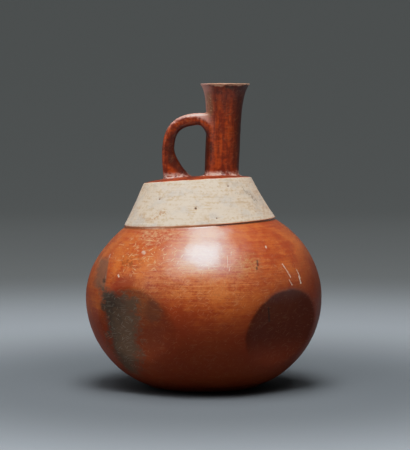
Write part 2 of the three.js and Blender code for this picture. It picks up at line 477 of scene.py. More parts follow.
def spout_profile():
    """Radius and height of each ring of the spout's outside, from its root to the top of the rim."""
    root = SPOUT_RADIUS + SPOUT_FILLET
    foot = [flat_point(root, 0), flat_point(SPOUT_RADIUS, 0), flat_point(SPOUT_RADIUS, SPOUT_FILLET)]
    wall = [flat_point(SPOUT_RADIUS, SPOUT_FILLET), flat_point(SPOUT_RADIUS, SPOUT_HEIGHT - FLARE_HEIGHT)]
    edge = flat_point(RIM_RADIUS, SPOUT_HEIGHT - RIM_ROUND)
    lip = [edge, flat_point(RIM_RADIUS, SPOUT_HEIGHT), flat_point(RIM_RADIUS - RIM_ROUND, SPOUT_HEIGHT)]
    rings = [flat_point(root, -SPOUT_ROOT), flat_point(root, 0)]
    rings += along(foot, FILLET_RINGS) + along(wall, WALL_RINGS)
    rings += along(flare_curve(SPOUT_RADIUS, RIM_RADIUS, edge.z), FLARE_RINGS) + along(lip, LIP_RINGS)
    return rings


def bore_profile():
    """Radius and height of each ring of the bore, from the belly to a little above the rim."""
    radius = SPOUT_RADIUS - SPOUT_WALL
    mouth = RIM_RADIUS - LIP_WALL
    rings = [flat_point(radius, -BORE_DROP), flat_point(radius, -SPOUT_WALL)]
    rings += along([rings[-1], flat_point(radius, SPOUT_HEIGHT - FLARE_HEIGHT)], BORE_RINGS)
    rings += along(flare_curve(radius, mouth, SPOUT_HEIGHT - RIM_ROUND), BORE_FLARE_RINGS)
    lip_top = flat_point(mouth + RIM_ROUND, SPOUT_HEIGHT)
    rings += along([rings[-1], flat_point(mouth, SPOUT_HEIGHT), lip_top], LIP_RINGS)
    rings.append(lip_top + flat_point(0, BORE_OVERSHOOT))
    return rings


def spout_centre(height):
    return SPOUT_FOOT + Vector((SPOUT_SLANT * height, 0, height))


def raised(name, rings, sides):
    """Raises a tube ring by ring, and closes its top."""
    bpy.ops.object.select_all(action="DESELECT")
    bpy.ops.mesh.primitive_circle_add(
        vertices=sides, radius=rings[0].x, fill_type="NGON", location=spout_centre(rings[0].z)
    )
    piece = bpy.context.object
    piece.name = name
    bpy.ops.object.transform_apply(location=True, rotation=True, scale=True)
    bpy.ops.object.mode_set(mode="EDIT")
    bpy.ops.mesh.select_all(action="SELECT")
    for here, there in zip(rings, rings[1:]):
        step = spout_centre(there.z) - spout_centre(here.z)
        bpy.ops.mesh.extrude_region_move(TRANSFORM_OT_translate={"value": step})
        growth = there.x / here.x
        bpy.ops.transform.resize(value=(growth, growth, 1), center_override=spout_centre(there.z))
    bpy.ops.mesh.select_all(action="SELECT")
    bpy.ops.mesh.normals_make_consistent(inside=False)
    bpy.ops.object.mode_set(mode="OBJECT")
    return piece


spout = raised("vase_spout", spout_profile(), SPOUT_SIDES)
print("spout raised to", round(places(spout)[:, 2].max() / MM, 1), "mm")

# %% [markdown]
# ## The strap handle
#
# A pulled strap is a rounded oblong in section. It starts as a plane with its corners bevelled round,
# and is extruded step by step along a bent line, turning with it. At both ends the potter smeared clay
# onto the crown and the spout on the inner side, so there the inner half of each ring is stretched
# towards the finger hole.

# %% Pull the handle
HANDLE_LINE = (
    Vector((-24 * MM, 0, 146 * MM)),
    Vector((-30.5 * MM, 0, 192 * MM)),
    Vector((-20 * MM, 0, 194.3 * MM)),
    Vector((7 * MM, 0, 194.2 * MM)),
)
HANDLE_STEPS = 64
STRAP_HALF_THICK = 4.2 * MM + SKIN_ALLOWANCE
STRAP_HALF_WIDE = 8 * MM
STRAP_ROUND = 3.3 * MM
STRAP_ROUND_STEPS = 7
FOOT_FLARE = 15 * MM
FOOT_FLARE_REACH = 0.27
JOIN_FLARE = 25 * MM
JOIN_FLARE_REACH = 0.15
END_SPREAD = 1.6 * MM
FINGER_HOLE = Vector((-9 * MM, 0, 172 * MM))
ACROSS = Vector((0, 1, 0))


def handle_direction(share):
    nudge = 0.001
    ahead = bezier(HANDLE_LINE, min(share + nudge, 1))
    behind = bezier(HANDLE_LINE, max(share - nudge, 0))
    return (ahead - behind).normalized()


def fading(share, reach):
    return max(0, 1 - share / reach) ** 2


def strap_start():
    """The rounded oblong at the handle's foot, facing along the handle."""
    start = bezier(HANDLE_LINE, 0)
    bpy.ops.object.select_all(action="DESELECT")
    bpy.ops.mesh.primitive_plane_add(size=1, location=start)
    piece = bpy.context.object
    piece.name = "vase_handle"
    piece.scale = (2 * STRAP_HALF_THICK, 2 * STRAP_HALF_WIDE, 1)
    bpy.ops.object.transform_apply(location=True, rotation=True, scale=True)
    bpy.ops.object.mode_set(mode="EDIT")
    bpy.ops.mesh.select_all(action="SELECT")
    bpy.ops.mesh.bevel(offset=STRAP_ROUND, segments=STRAP_ROUND_STEPS, affect="VERTICES")
    return piece


def pull_handle():
    """Extrudes the strap step by step along its line, turning with it."""
    piece = strap_start()
    heading = Vector((0, 0, 1))
    here = bezier(HANDLE_LINE, 0)
    for step in range(HANDLE_STEPS + 1):
        share = step / HANDLE_STEPS
        there = bezier(HANDLE_LINE, share)
        if step > 0:
            bpy.ops.mesh.extrude_region_move(TRANSFORM_OT_translate={"value": there - here})
        new_heading = handle_direction(share)
        turn(heading.cross(new_heading).dot(ACROSS), "Y", there)
        here = there
        heading = new_heading
    bpy.ops.mesh.select_all(action="SELECT")
    bpy.ops.mesh.normals_make_consistent(inside=False)
    bpy.ops.object.mode_set(mode="OBJECT")
    return piece


def smear_ends(piece, ring_size):
    """Stretches the inner half of the rings near both ends, and spreads them sideways."""
    for step in range(HANDLE_STEPS + 1):
        share = step / HANDLE_STEPS
        at_foot = fading(share, FOOT_FLARE_REACH)
        at_join = fading(1 - share, JOIN_FLARE_REACH)
        growth = FOOT_FLARE * at_foot + JOIN_FLARE * at_join
        if growth == 0:
            continue
        centre = bezier(HANDLE_LINE, share)
        ring = slice(step * ring_size, (step + 1) * ring_size)
        wanted = np.zeros(len(piece.data.vertices), bool)
        inward = ACROSS.cross(handle_direction(share))
        wanted[ring] = (places(piece)[ring] - np.array(centre)) @ np.array(inward) > 0
        pick(piece, wanted)
        bpy.ops.transform.resize(
            value=(1, 1, 1 + growth / STRAP_HALF_THICK),
            orient_type="LOCAL",
            orient_matrix=inward.to_track_quat("Z", "Y").to_matrix(),
            orient_matrix_type="LOCAL",
            center_override=centre,
        )
        wanted[ring] = True
        pick(piece, wanted)
        spread = 1 + END_SPREAD * (at_foot + at_join) / STRAP_HALF_WIDE
        bpy.ops.transform.resize(value=(1, spread, 1), center_override=centre)
    bpy.ops.object.mode_set(mode="OBJECT")


handle = pull_handle()
handle_ring = len(handle.data.vertices) // (HANDLE_STEPS + 1)
smear_ends(handle, handle_ring)
print("handle pulled:", handle_ring, "vertices a ring")

# %% [markdown]
# ## One piece of clay
#
# Spout and handle were luted to the crown while the clay was wet, so they are united with the body, and
# the seams are rubbed soft: the sharp edges near a join are found, grown by two rings and smoothed.

# %% Join spout and handle
SEAM_ANGLE = math.radians(22)
SEAM_LEVEL = 149 * MM
JOIN_LEVEL = 203 * MM
SEAM_RUBS = 5


def boolean(piece, tool, operation):
    """Joins a tool to a piece or cuts it out of it. The tool is used up."""
    only(piece)
    bpy.ops.object.modifier_add(type="BOOLEAN")
    modifier = piece.modifiers[-1]
    modifier.operation = operation
    modifier.solver = "EXACT"
    modifier.material_mode = "TRANSFER"
    modifier.object = tool
    bpy.ops.object.modifier_apply(modifier=modifier.name)
    only(tool)
    bpy.ops.object.delete()
    only(piece)


def sharp_vertices(piece, angle):
    """Flags of the vertices on edges that are sharper than an angle."""
    pick(piece, np.zeros(len(piece.data.vertices), bool))
    bpy.ops.mesh.edges_select_sharp(sharpness=angle)
    bpy.ops.object.mode_set(mode="OBJECT")
    flags = np.empty(len(piece.data.vertices), bool)
    piece.data.vertices.foreach_get("select", flags)
    return flags


slip_material = bpy.data.materials.new("terracotta slip")
bare_material = bpy.data.materials.new("bare clay")
for piece in (body, spout, handle):
    piece.data.materials.append(slip_material)
vase = body
vase.name = "vase_clay"
boolean(vase, spout, "UNION")
boolean(vase, handle, "UNION")
heights = places(vase)[:, 2]
pick(vase, sharp_vertices(vase, SEAM_ANGLE) & (heights > SEAM_LEVEL) & (heights < JOIN_LEVEL))
bpy.ops.mesh.select_more()
bpy.ops.mesh.select_more()
rub(SEAM_RUBS)
print("one piece of", len(vase.data.polygons), "faces")

# %% [markdown]
# A hand-built wall is never even. Two Displace modifiers with soft clouds, one wide and one narrow,
# give the skin its slow swell. They only push inwards, so the bottle never grows beyond its frame, and
# a vertex group leaves the flat foot out.

# %% Uneven skin
WALL_SWELL = 0.7 * MM
WALL_SWELL_SPAN = 30 * MM
SKIN_SWELL = 0.22 * MM
SKIN_SWELL_SPAN = 7 * MM
FOOT_CLEAR = 2 * MM


def swell(piece, depth, span, group):
    """Pushes the skin inwards by up to a depth, in soft clouds of a given span."""
    clouds = bpy.data.textures.new("clay swell", "CLOUDS")
    clouds.noise_scale = span
    bpy.ops.object.modifier_add(type="DISPLACE")
    modifier = piece.modifiers[-1]
    modifier.texture = clouds
    modifier.texture_coords = "LOCAL"
    modifier.mid_level = 1
    modifier.strength = depth
    modifier.vertex_group = group
    bpy.ops.object.modifier_apply(modifier=modifier.name)


pick(vase, heights > FOOT_CLEAR)
bpy.ops.object.vertex_group_assign_new()
bpy.ops.object.mode_set(mode="OBJECT")
above_foot = vase.vertex_groups[0].name
swell(vase, WALL_SWELL, WALL_SWELL_SPAN, above_foot)
swell(vase, SKIN_SWELL, SKIN_SWELL_SPAN, above_foot)
print("skin swells by up to", round((WALL_SWELL + SKIN_SWELL) / MM, 2), "mm")

# %% [markdown]
# ## Hollowing out
#
# The inside is the same form, drawn in by the wall: it is spun, leaned and pressed like the outside and
# cut away, and so is the bore of the spout. The belly's inside keeps a material of its own, the bare
# clay that no slip reached.

# %% Cut the cavity and the bore
BODY_WALL = 5.5 * MM
CAVITY_DETAIL = 0.4
CAVITY_SIDES = 96
BORE_SIDES = 64

inner_section = body_section(BODY_WALL, CAVITY_DETAIL)
cavity = spun("vase_cavity", inner_section, CAVITY_SIDES)
lean_over(cavity, inner_section)
for hollow in HOLLOWS:
    press_hollow(cavity, hollow, BODY_WALL)
cavity.data.materials.append(bare_material)
bore = raised("vase_bore", bore_profile(), BORE_SIDES)
bore.data.materials.append(slip_material)
boolean(vase, cavity, "DIFFERENCE")
boolean(vase, bore, "DIFFERENCE")
print("hollow piece of", len(vase.data.polygons), "faces,", len(vase.data.materials), "materials")

# %% [markdown]
# ## Damage
#
# Small losses are part of the object: nicks in the rim, pits in the collar and a chip on the left
# shoulder. Each is a soft push on the vertices nearest to a point that the camera sees, so a mark lies
# where the photograph has it. `seen` finds that point by a ray from the camera through a place on the
# bottle's middle plane.

# %% Nicks, pits and a chip
# Place seen, across and up, and depth, all in millimetres.
COLLAR_PITS = ((-5.6, 129.2, 1.2), (-32, 136, 0.8), (17.5, 145.4, 0.8), (9.3, 122.2, 0.7))
RIM_NICKS = ((1.5, 217.6, 0.5), (6, 218.6, 0.8), (11, 218.9, 0.5), (19.5, 218.4, 0.9), (28, 218.6, 0.7))
SHOULDER_CHIP = (-72.5, 76.7, 1.2)
PIT_SIZE = 2.4 * MM
NICK_SIZE = 3 * MM
CHIP_SIZE = 4 * MM


def seen(x, z):
    """Where the camera sees the bottle in front of a place, in millimetres, on its middle plane."""
    target = Vector((x * MM, 0, z * MM))
    hit, point, normal, _ = vase.ray_cast(CAMERA_PLACE, (target - CAMERA_PLACE).normalized())
    if not hit:
        raise ValueError(f"nothing is seen at {x}, {z}")
    return point, normal


def dent(x, z, depth, size):
    """Pushes the clay in at a place that the camera sees, by a depth in millimetres."""
    point, normal = seen(x, z)
    gaps = np.linalg.norm(places(vase) - np.array(point), axis=1)
    pick(vase, gaps <= gaps.min() + TOUCHING)
    bpy.ops.transform.translate(
        value=-normal * (depth * MM),
        use_proportional_edit=True,
        proportional_edit_falloff="SHARP",
        proportional_size=size,
    )
    bpy.ops.object.mode_set(mode="OBJECT")


only(vase)
for pit in COLLAR_PITS:
    dent(*pit, PIT_SIZE)
for nick in RIM_NICKS:
    dent(*nick, NICK_SIZE)
dent(*SHOULDER_CHIP, CHIP_SIZE)
print(len(COLLAR_PITS), "pits,", len(RIM_NICKS), "nicks and a chip")

# %% [markdown]
# ## Finish of the skin
#
# Faces are shaded smooth except across real edges, such as the cut line under the collar. The finished
# piece then takes the place of the frame's solid.

# %% Smooth shading
REAL_EDGE = math.radians(38)

only(vase)
bpy.ops.object.shade_smooth_by_angle(angle=REAL_EDGE)
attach(vase, "root")
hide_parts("vase")
print("smooth:", len(vase.data.vertices), "vertices")

# %% [markdown]
# ## Shader maths as plain expressions
#
# A material is a net of nodes. One small class wraps an output of it, so that masks can be added and
# multiplied like numbers. Everything is measured in millimetres from the bottle's own origin.

# %% Socket class
class Socket:
    """An output of a material's nodes."""

    def __init__(self, tree, output=None):
        self.tree = tree
        self.output = output

    def node(self, kind, settings=None, inputs=None, result=0):
        """Makes a node: its settings first, then values or links for its inputs."""
        made = self.tree.nodes.new("ShaderNode" + kind)
        for name, value in (settings or {}).items():
            setattr(made, name, value)
        for name, value in (inputs or {}).items():
            if isinstance(value, Socket):
                self.tree.links.new(value.output, made.inputs[name])
            else:
                made.inputs[name].default_value = value
        return Socket(self.tree, made.outputs[result])

    def math(self, operation, *values):
        return self.node("Math", {"operation": operation}, dict(enumerate(values)))

    def vector(self, operation, *values, result=0):
        return self.node("VectorMath", {"operation": operation}, dict(enumerate(values)), result)

    def __add__(self, other):
        return self.math("ADD", self, other)

    __radd__ = __add__

    def __sub__(self, other):
        return self.math("SUBTRACT", self, other)

    def __rsub__(self, other):
        return self.math("SUBTRACT", other, self)

    def __mul__(self, other):
        return self.math("MULTIPLY", self, other)

    __rmul__ = __mul__

    def most(self, other):
        """The larger of two masks at each place."""
        return self.math("MAXIMUM", self, other)

    def least(self, other):
        """The smaller of two masks at each place."""
        return self.math("MINIMUM", self, other)

    def ramp(self, low, high):
        """Rises softly from 0 to 1 between two values, or falls where high is the smaller one."""
        inputs = {"Value": self, "From Min": low, "From Max": high}
        return self.node("MapRange", {"interpolation_type": "SMOOTHSTEP"}, inputs)

    def blend(self, first, second):
        """Mixes two colours by this share."""
        return self.node("Mix", {"data_type": "RGBA"}, {0: self, 6: first, 7: second}, 2)

    def noise(self, spans, detail=2.0, roughness=0.5):
        """Cloudy noise about 0.5 on this place, with a span in millimetres for each axis."""
        stretched = self.vector("DIVIDE", self, spans)
        inputs = {"Vector": stretched, "Scale": 1.0, "Detail": detail, "Roughness": roughness}
        return self.node("TexNoise", {"noise_dimensions": "3D"}, inputs)

    def away(self, centre, radii):
        """How far this place is from a centre, in radii."""
        arm = self.vector("DIVIDE", self.vector("SUBTRACT", self, centre), radii)
        return self.vector("LENGTH", arm, result=1)

    def above(self, point, normal):
        """How far this place is above a plane."""
        return self.vector("DOT_PRODUCT", self.vector("SUBTRACT", self, point), normal, result=1)

    def cells(self, spans):
        """Random cells: the distance from the nearest cell's middle, and a number drawn for that cell."""
        inputs = {"Vector": self.vector("DIVIDE", self, spans), "Scale": 1.0}
        distance = self.node("TexVoronoi", {"feature": "F1"}, inputs, "Distance")
        drawn = self.node("TexVoronoi", {"feature": "F1"}, inputs, "Color")
        return distance, self.node("SeparateColor", None, {"Color": drawn}, "Red")

    def right_of(self, start, end):
        """How far this place lies to the right of a line that is walked from start to end on the front."""
        line = end - start
        return self.above(start, Vector((line.z, 0, -line.x)).normalized())

    def stroke(self, start, end):
        """How far this place is from the line between two points."""
        line = end - start
        arm = self.vector("SUBTRACT", self, start)
        along_line = self.vector("DOT_PRODUCT", arm, line / line.length_squared, result=1)
        share = self.node("Clamp", None, {"Value": along_line})
        foot = self.node("VectorMath", {"operation": "SCALE"}, {0: line, "Scale": share})
        return self.vector("DISTANCE", arm, foot, result=1)


def opened(material):
    """A material's node net, its place in millimetres, and its surface node."""
    material.use_nodes = True
    net = Socket(material.node_tree)
    metres = net.node("TexCoord", None, None, "Object")
    place = net.node("VectorMath", {"operation": "SCALE"}, {0: metres, "Scale": 1 / MM})
    return net, place, material.node_tree.nodes["Principled BSDF"]


def feed(material, surface, name, value):
    material.node_tree.links.new(value.output, surface.inputs[name])


def paint(code):
    """A colour from its six-digit code, as the light-linear values that materials use."""
    parts = [int(code[i:i + 2], 16) / 255 for i in (0, 2, 4)]
    linear = [p / 12.92 if p <= 0.04045 else ((p + 0.055) / 1.055) ** 2.4 for p in parts]
    return (*linear, 1.0)


print("socket class ready")

# %% [markdown]
# ## Slip
#
# The paint is built up in layers: each layer is a mask that blends a new colour over the ones below.
# The masks share a few things that are made first: the place's x, y and height, noises of several
# spans, and how far a place lies above the two planes that bound the collar, which lean with the body.

# %% What the layers share
lean_matrix = Matrix.Rotation(-LEAN, 3, "Y")
groove_normal = lean_matrix @ Vector((0, 0, 1))
crown_normal = lean_matrix @ Matrix.Rotation(-CROWN_TILT, 3, "X") @ Vector((0, 0, 1))
groove_point = (LEAN_PIVOT + lean_matrix @ (flat_point(0, COLLAR_FOOT_HEIGHT) - LEAN_PIVOT)) / MM
crown_point = (LEAN_PIVOT + lean_matrix @ (CROWN_PIVOT - LEAN_PIVOT)) / MM


def at(x, z):
    """The point in millimetres that the camera sees in front of a place on the middle plane."""
    return seen(x, z)[0] / MM


net, place, surface = opened(slip_material)
x_place = net.node("SeparateXYZ", None, {"Vector": place}, "X")
y_place = net.node("SeparateXYZ", None, {"Vector": place}, "Y")
height = net.node("SeparateXYZ", None, {"Vector": place}, "Z")
cloud = place.noise((34, 34, 26), 3, 0.55)
mottle = place.noise((9, 9, 6), 4, 0.6)
streak = place.noise((24, 24, 0.9), 3, 0.6)
upright = place.noise((2.4, 2.4, 26), 3, 0.6)
fine = place.noise((2.6, 2.6, 1.8), 4, 0.65)
grain = place.noise((0.9, 0.9, 0.9), 2, 0.6)
wander = (place.noise((6, 6, 6), 3) - 0.5) * 1.6
uneven = mottle - 0.5
uneven_fine = fine - 0.5
uneven_cloud = cloud - 0.5
uneven_streak = streak - 0.5
above_groove = place.above(groove_point, groove_normal)
above_crown = place.above(crown_point, crown_normal)
on_top = (above_crown + wander * 0.5).ramp(-0.5, 0.1)
print("noises and planes ready")

# %% [markdown]
# The slip varies from orange to deep red in soft clouds, with fine level streaks from the burnishing
# stone. The stone rubbed a bright band across the front, which is partly a painted sheen below the
# highlight, and a tan smudge lies on the right shoulder. Painted shade darkens the belly low down,
# where the slip is also a deeper red, and at the right side, and the left side is darker too.

# %% Slip on the belly
ORANGE_SLIP = paint("cc682b")
BRIGHT_SLIP_AND_SHEEN = paint("e08a4c")
TAN_SLIP = paint("c2844c")
RED_SLIP = paint("aa421a")
DEEP_SLIP_AND_SHADE = paint("8a3317")
HOLLOW_SHADE = paint("581f0a")
# The middle and the radii of a patch.
RUBBED_AND_SHEEN_BAND = (at(0, 76), (70, 60, 15))
TAN_SMUDGE = (at(31, 88), (16, 20, 9))

tone = (cloud * 0.4 + mottle * 0.25 + fine * 0.15 + streak * 0.2).ramp(0.42, 0.58)
colour = tone.blend(RED_SLIP, ORANGE_SLIP)
stroked = (fine * 0.6 + streak * 0.4).ramp(0.4, 0.62)
# A band of slip rubbed bright by the stone, partly a painted sheen below the highlight.
rubbed_band_and_sheen = place.away(*RUBBED_AND_SHEEN_BAND).ramp(1.2, 0.3) * x_place.ramp(52, 20)
colour = (rubbed_band_and_sheen * stroked * 0.6).blend(colour, BRIGHT_SLIP_AND_SHEEN)
tan_smudge = (place.away(*TAN_SMUDGE) + uneven * 1.6).ramp(1.1, 0.2)
colour = (tan_smudge * stroked * 0.9).blend(colour, TAN_SLIP)
speckled = (fine * 0.6 + grain * 0.4).ramp(0.5, 0.6)
colour = (speckled * 0.3).blend(colour, DEEP_SLIP_AND_SHADE)
# Painted shade: darker low down, where the slip is also a deeper red, and darkest at the right side. The
# left side is darker too.
shaded_low_belly = (height + uneven_cloud * 14 + uneven * 14 + uneven_streak * 8).ramp(70, 46)
shaded_right_side = (x_place + (75 - height) * 0.3 + uneven * 14).ramp(56, 84)
left_side = (x_place + uneven * 14).ramp(-66, -84)
deep_and_shaded = shaded_low_belly.most(shaded_right_side * 0.85).most(left_side * 0.5)
colour = (deep_and_shaded * 0.88).blend(colour, DEEP_SLIP_AND_SHADE)
colour = (shaded_right_side * 0.6).blend(colour, HOLLOW_SHADE)
print("belly painted")

# %% [markdown]
# Shade is painted into the hollows and around them. The right hollow in view gets the darkest, with a
# soft painted shade around it and a crisp edge above. The left one gets hardly any, and the two at the
# back are in between.

# %% Painted shade in the hollows
HOLLOW_SHADE_SHARES = (0.78, 0.15, 0.5, 0.5)
HOLLOW_RADII = (36, 36, 30)

for hollow, darkness in zip(HOLLOWS, HOLLOW_SHADE_SHARES):
    from_hollow = place.away(hollow_floor(hollow) / MM, HOLLOW_RADII) + uneven * 0.08
    # Painted shade round each hollow and, deeper, inside it.
    colour = (from_hollow.ramp(1.6, 1.0) * darkness * 0.6).blend(colour, DEEP_SLIP_AND_SHADE)
    shaded_dish = from_hollow.ramp(1.0, 0.92) * height.ramp(24, 44)
    colour = (shaded_dish * darkness).blend(colour, HOLLOW_SHADE)
print("hollows painted")

# %% [markdown]
# On the spout and the handle the slip is darker, and the strokes run upright. Shade is painted on top of
# that: darkest round the finger hole, on the spout's right side and under its rim.

# %% Slip on the spout and the handle
SPOUT_SLIP = paint("6c200a")
SPOUT_GLOW = paint("b0420e")
SPOUT_SHADE = paint("3a1006")
FINGER_RADII = (12, 40, 12.5)

top_tone = (upright * 0.4 + mottle * 0.3 + fine * 0.3).ramp(0.42, 0.6)
top_colour = top_tone.blend(SPOUT_SLIP, SPOUT_GLOW)
# Painted shade on the spout's right side, round the finger hole and under the rim.
shade_side = (x_place + uneven * 8).ramp(17, 25) * height.ramp(155, 160)
from_finger = place.away(FINGER_HOLE / MM, FINGER_RADII) + uneven * 0.3
shaded = shade_side.most(from_finger.ramp(1.5, 1.05))
shaded = shaded.most(from_finger.ramp(1.8, 1.35) * x_place.ramp(6, 1))
shaded = shaded.most((height + uneven * 8).ramp(198, 208) * 0.5)
top_colour = (shaded * 0.85).blend(top_colour, SPOUT_SHADE)
colour = on_top.blend(colour, top_colour)
print("spout and handle painted")

# %% [markdown]
# ## Fire cloud
#
# Where the bottle leaned on another pot or on fuel, the fire had no air and the clay stayed grey. The
# cloud fills the left hollow between five ragged borders, with a brown haze towards the front. Above
# it a dark red is painted as shade along the hollow's upper edge. A grey strip runs up from the cloud
# and ends sharply at a scratch. Four borders are lines on the front and one is a height. The smallest
# distance from them, made ragged by the noises, tells how deep in the cloud a place lies.

# %% Fire cloud
SMOKE = paint("6a5442")
SOOT = paint("3e3c33")
HAZE = paint("6f4834")
HOLLOW_EDGE_SHADE_RED = paint("902c0e")
SCUFF = paint("7a3a14")
CLOUD_LEFT = (at(-71.5, 46), at(-76.5, 76))
CLOUD_LOW = (at(-62, 20), at(-73, 39))
CLOUD_TOP = (at(-76, 75), at(-48, 64))
CLOUD_RIGHT = (at(-47.5, 66), at(-48.5, 15))
CLOUD_FOOT = 12
STRIP_EDGE = (at(-71.2, 74), at(-68, 96))
HAZE_PATCH = (at(-37.5, 54.5), (8, 20, 8.5))
THIN_HAZE_PATCH = (at(-42, 40), (22, 20, 30))
HOLLOW_EDGE_SHADE_PATCH = (at(-57, 75), (15, 24, 9))
SCUFF_PATCH = (at(-52, 90.5), (12, 20, 6))

ragged = uneven * 16 + uneven_fine * 11 + uneven_cloud * 10
reach = place.right_of(*CLOUD_LEFT).least(place.right_of(*CLOUD_LOW))
sooty = (reach + (75 - height) * 0.25 + ragged).ramp(22, 7)
reach = reach.least(place.right_of(*CLOUD_TOP))
reach = reach.least(place.right_of(*CLOUD_RIGHT) * 0.7)
reach = reach.least((height - CLOUD_FOOT) * 0.6)
in_front = y_place.ramp(0, -14)
smoke = (reach + ragged).ramp(-3, 5) * in_front
haze = (place.away(*HAZE_PATCH) + ragged * 0.05).ramp(1.2, 0.6)
thin_haze = (place.away(*THIN_HAZE_PATCH) + ragged * 0.05).ramp(1.2, 0.3)
hollow_edge_shade = (place.away(*HOLLOW_EDGE_SHADE_PATCH) + ragged * 0.05).ramp(1.1, 0.3)
scuff = (place.away(*SCUFF_PATCH) + uneven * 1.4).ramp(1.1, 0.3) * fine.ramp(0.42, 0.56)
left_of_edge = 0 - place.right_of(*STRIP_EDGE)
strip = left_of_edge.ramp(-0.2, 0.6) * (left_of_edge + ragged * 0.5).ramp(11, 6) * in_front
strip = strip * (height + ragged * 0.5).ramp(72, 78) * (height + ragged * 0.3).ramp(98, 93)
# Painted shade, dark red, along the left hollow's upper edge.
colour = (hollow_edge_shade * 0.75).blend(colour, HOLLOW_EDGE_SHADE_RED)
colour = (scuff * 0.6).blend(colour, SCUFF)
colour = (thin_haze * 0.2).blend(colour, HAZE)
colour = (haze * 0.5).blend(colour, HAZE)
colour = (smoke * 0.92).blend(colour, sooty.blend(SMOKE, SOOT))
colour = (strip * 0.65).blend(colour, SMOKE)
print("fire cloud painted")

# %% [markdown]
# ## Collar
#
# The collar is bare cream clay, with tan and ashen clouds, small freckles, a brown stain at the left
# and a grey smudge at the right. The slip laps over the brim, so the mask ends there in a wandering
# line.

# %% Collar
CREAM = paint("dec4ad")
TAN = paint("bb987a")
ASH = paint("c0b8b0")
STAIN = paint("a9764e")
SMUDGE = paint("857a6c")
# The line along which a stain lies.
BROWN_STAIN = (at(-37, 122), at(-29, 127))
GREY_SMUDGE = (at(29, 143.5), at(38, 134.5))

stained = (mottle * 0.35 + fine * 0.4 + streak * 0.25).ramp(0.46, 0.6)
cream = (stained * 0.65).blend(CREAM, TAN)
ashen = (place.noise((16, 16, 9), 4, 0.65) + x_place.ramp(-20, -52) * 0.08).ramp(0.5, 0.68)
cream = (ashen * 0.5).blend(cream, ASH)
scuffed = (fine * 0.5 + grain * 0.5).ramp(0.46, 0.56)
brown_stain = (place.stroke(*BROWN_STAIN) * 0.24 + uneven_fine * 2).ramp(1.1, 0.2)
cream = (brown_stain * scuffed * 0.75).blend(cream, STAIN)
grey_smudge = (place.stroke(*GREY_SMUDGE) * 0.34 + uneven_fine * 2).ramp(1.1, 0.2)
cream = (grey_smudge * scuffed * 0.75).blend(cream, SMUDGE)
freckles, lot = place.cells((1.6, 1.6, 1.6))
freckles = freckles.ramp(0.3, 0.15) * lot.ramp(0.8, 0.9)
cream = (freckles * 0.45).blend(cream, SMUDGE)
on_collar = (above_groove + wander * 0.6).ramp(1.0, 1.8) * (1 - on_top)
colour = on_collar.blend(colour, cream)
print("collar painted")

# %% [markdown]
# The cut line under the collar is dark at the right, with dirt and painted shade in the groove, and
# full of slip at the left, and dirt has settled in the collar's pits.

# %% Dirt and painted shade
DIRT = paint("3d2a1e")
GROOVE_SLIP = paint("a85a2a")
GROOVE_DIRT_AND_SHADE = paint("4c2008")

to_right = (x_place + uneven * 50).ramp(-12, 30)
off_line = net.math("ABSOLUTE", above_groove + wander * 0.3 - 0.9)
colour = (off_line.ramp(1.6, 0.6) * 0.8).blend(colour, GROOVE_SLIP)
# Dirt and painted shade in the groove, darkest at the right.
colour = (off_line.ramp(0.9, 0.3) * (to_right * 0.65 + 0.25)).blend(colour, GROOVE_DIRT_AND_SHADE)
for x, z, depth in COLLAR_PITS:
    pit = place.away(at(x, z), (depth, depth, depth)).ramp(1.1, 0.4)
    colour = (pit * 0.8).blend(colour, DIRT)
print("dirt settled")

# %% [markdown]
# ## Wear
#
# Scratches and specks show pale clay through the slip, most of them on the left shoulder, up to the
# foot of the collar, where the pale rub is partly a painted sheen. Random cells that are stretched thin
# and tilted cut the skin in short strokes.
# Four sets of them at different angles look like the wear of years, and a gentle bend keeps them from
# being ruled lines.

# %% Scattered scratches
PALE = paint("e0ae80")
GREY_SCRATCH = paint("8f8a80")
LEFT_SHOULDER = (at(-44, 99), (32, 40, 17))
BELLY_BAND = (at(-5, 78), (80, 60, 26))
RUBBED_NECK_AND_SHEEN = (at(-34, 110.5), (24, 24, 7))
# Tilt in radians, spans of a cell in millimetres and share of the cells that hold a stroke.
STROKE_SETS = (
    (0.7, (7, 7, 0.75), 0.4),
    (-0.5, (6, 6, 0.7), 0.35),
    (0.12, (11, 11, 0.6), 0.35),
    (1.2, (5, 5, 0.7), 0.3),
)
STROKE_BEND = (4, 4, 4)
SPECK_SPANS = (1.7, 1.7, 1.7)


def scratched(tilt, spans, chance):
    """Random strokes that lie at an angle, as a mask."""
    turned = net.node("VectorRotate", {"rotation_type": "Y_AXIS"}, {"Vector": bent, "Angle": tilt})
    spacing, lot = turned.cells(spans)
    return spacing.ramp(0.4, 0.15) * lot.ramp(1 - chance, 1)


bends = net.node("TexNoise", None, {"Vector": place, "Scale": 0.06, "Detail": 1.0}, "Color")
bent = place.vector("ADD", place, place.vector("MULTIPLY", bends, STROKE_BEND))
strokes = scratched(*STROKE_SETS[0])
for stroke_set in STROKE_SETS[1:]:
    strokes = strokes.most(scratched(*stroke_set))
spacing, lot = place.cells(SPECK_SPANS)
specks = spacing.ramp(0.34, 0.14) * lot.ramp(0.82, 0.95)
left_shoulder = (place.away(*LEFT_SHOULDER) + uneven * 0.8).ramp(1.2, 0.4)
belly_band = (place.away(*BELLY_BAND) + uneven * 1.2).ramp(1.2, 0.4)
rubbed_neck_and_sheen = (place.away(*RUBBED_NECK_AND_SHEEN) + uneven * 1.2).ramp(1.2, 0.3)
wear_and_sheen = strokes * (left_shoulder * 0.75 + belly_band * 0.25 + 0.1)
wear_and_sheen = wear_and_sheen.most(specks * (left_shoulder * 0.7 + 0.12))
